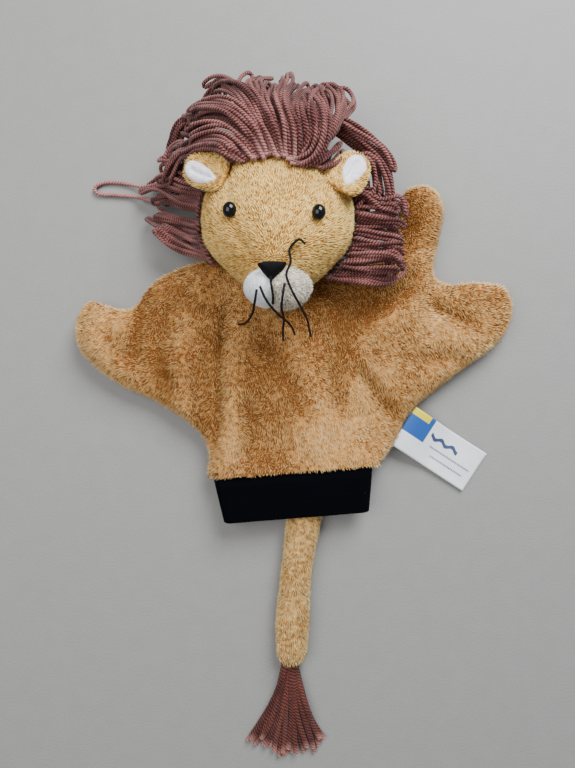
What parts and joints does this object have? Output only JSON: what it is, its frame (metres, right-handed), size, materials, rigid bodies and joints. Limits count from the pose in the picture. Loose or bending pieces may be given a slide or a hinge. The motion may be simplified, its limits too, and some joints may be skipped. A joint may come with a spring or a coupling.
{
  "type": "lion glove puppet",
  "caption": "Plush lion glove puppet lying face up: open sewn glove with finger paws, ribbed cuff, stuffed head with yarn mane, and a tasselled tail.",
  "frame": {"origin": "on the plane the puppet lies on, under the middle of the glove's back", "axes": "+Y to the top of the head, +Z out of the face, +X to the viewer's right"},
  "size_m": [0.2464, 0.3726, 0.061],
  "materials": {
    "glove_plush": "short caramel pile, clumped and combed",
    "head_plush": "short tan pile",
    "white_plush": "bright white pile",
    "cream_plush": "cream pile with grey shadows",
    "cuff_knit": "ribbed near-black knit",
    "mane_yarn": "dusty rose twisted yarn",
    "stuffing": "white polyester filling",
    "sleeve_cloth": "thin woven lining cloth",
    "label_satin": "white satin ribbon with a plain woven mark",
    "nose_felt": "black embroidery and felt",
    "black_thread": "waxed black thread",
    "eye_plastic": "glossy black dome",
    "washer_plastic": "moulded"
  },
  "bodies": {
    "glove": {"glove_front_panel": "glove_plush", "glove_back_panel": "glove_plush", "wrist_cuff": "cuff_knit"},
    "label": {"sewn_label": "label_satin"},
    "arm_left": {"arm_left_front_panel": "glove_plush", "arm_left_back_panel": "glove_plush"},
    "arm_right": {"arm_right_front_panel": "glove_plush", "arm_right_back_panel": "glove_plush"},
    "paw_upper_right": {"paw_upper_right_front_panel": "glove_plush", "paw_upper_right_back_panel": "glove_plush"},
    "paw_upper_left": {"paw_upper_left_front_panel": "glove_plush", "paw_upper_left_back_panel": "glove_plush"},
    "tail": {"tail_cover": "glove_plush", "tail_stuffing": "stuffing"},
    "tassel": {"tail_tassel": "mane_yarn"},
    "neck": {"neck_tube": "glove_plush"},
    "head": {"finger_sleeve": "sleeve_cloth", "head_face_strip": "head_plush", "head_cheek_left": "head_plush", "head_cheek_right": "head_plush", "head_back": "head_plush", "head_stuffing": "stuffing", "muzzle_left": "white_plush", "muzzle_right": "cream_plush", "nose": "nose_felt", "mouth_stitch": "black_thread", "eye_left": "eye_plastic", "eye_right": "eye_plastic", "eye_washer_left": "washer_plastic", "eye_washer_right": "washer_plastic", "mane_top": "mane_yarn", "mane_left": "mane_yarn", "mane_right": "mane_yarn", "mane_loop": "mane_yarn", "whisker_left_inner": "black_thread", "whisker_left_outer": "black_thread", "whisker_right_inner": "black_thread", "whisker_right_outer": "black_thread"},
    "ear_left": {"ear_left_cover": "head_plush", "ear_left_lining": "white_plush"},
    "ear_right": {"ear_right_cover": "head_plush", "ear_right_lining": "white_plush"}
  },
  "joints": [
    {"name": "neck_nod", "type": "hinge", "parent": "glove", "child": "neck", "pos_m": [-0.0083, 0.0712, 0.018], "axis": [1, 0, 0], "range_deg": [0, 30], "deforming": ["whisker_left_inner", "whisker_left_outer", "whisker_right_inner", "whisker_right_outer", "mane_left", "mane_right"]},
    {"name": "head_tilt", "type": "hinge", "parent": "neck", "child": "head", "pos_m": [-0.0083, 0.0835, 0.0105], "axis": [0, 0, 1], "range_deg": [-12, 12], "deforming": ["whisker_left_inner", "whisker_left_outer", "whisker_right_inner", "whisker_right_outer", "mane_left", "mane_right"]},
    {"name": "ear_left_flap", "type": "hinge", "parent": "head", "child": "ear_left", "pos_m": [-0.03358, 0.10751, 0.05179], "axis": [0.3256, 0.9455, 0], "range_deg": [0, 40], "stiffness_Nm_per_rad": 0.0008},
    {"name": "ear_right_flap", "type": "hinge", "parent": "head", "child": "ear_right", "pos_m": [0.02303, 0.10021, 0.05179], "axis": [0.8829, -0.4695, 0], "range_deg": [0, 40], "stiffness_Nm_per_rad": 0.0008},
    {"name": "arm_left_curl", "type": "hinge", "parent": "glove", "child": "arm_left", "pos_m": [-0.07317, 0.01909, 0.018], "axis": [-0.2996, 0.9541, 0], "range_deg": [0, 85]},
    {"name": "arm_right_curl", "type": "hinge", "parent": "glove", "child": "arm_right", "pos_m": [0.07373, 0.02425, 0.018], "axis": [-0.1388, -0.9903, 0], "range_deg": [0, 85]},
    {"name": "paw_upper_right_curl", "type": "hinge", "parent": "glove", "child": "paw_upper_right", "pos_m": [0.06354, 0.0692, 0.018], "axis": [0.9764, -0.216, 0], "range_deg": [0, 40]},
    {"name": "paw_upper_left_unfold", "type": "hinge", "parent": "glove", "child": "paw_upper_left", "pos_m": [-0.06385, 0.07048, 0.0066], "axis": [0.9275, 0.3738, 0], "range_deg": [0, 110]},
    {"name": "tail_swing", "type": "hinge", "parent": "glove", "child": "tail", "pos_m": [0.00722, -0.05108, 0.003], "axis": [0, 0, 1], "range_deg": [-30, 30]},
    {"name": "tassel_swing", "type": "hinge", "parent": "tail", "child": "tassel", "pos_m": [-0.0015, -0.16058, 0.003], "axis": [0, 0, 1], "range_deg": [-40, 40]},
    {"name": "label_flip", "type": "hinge", "parent": "glove", "child": "label", "pos_m": [0.064, -0.0205, 0.009], "axis": [-0.5446, -0.8387, 0], "range_deg": [0, 105]}
  ]
}
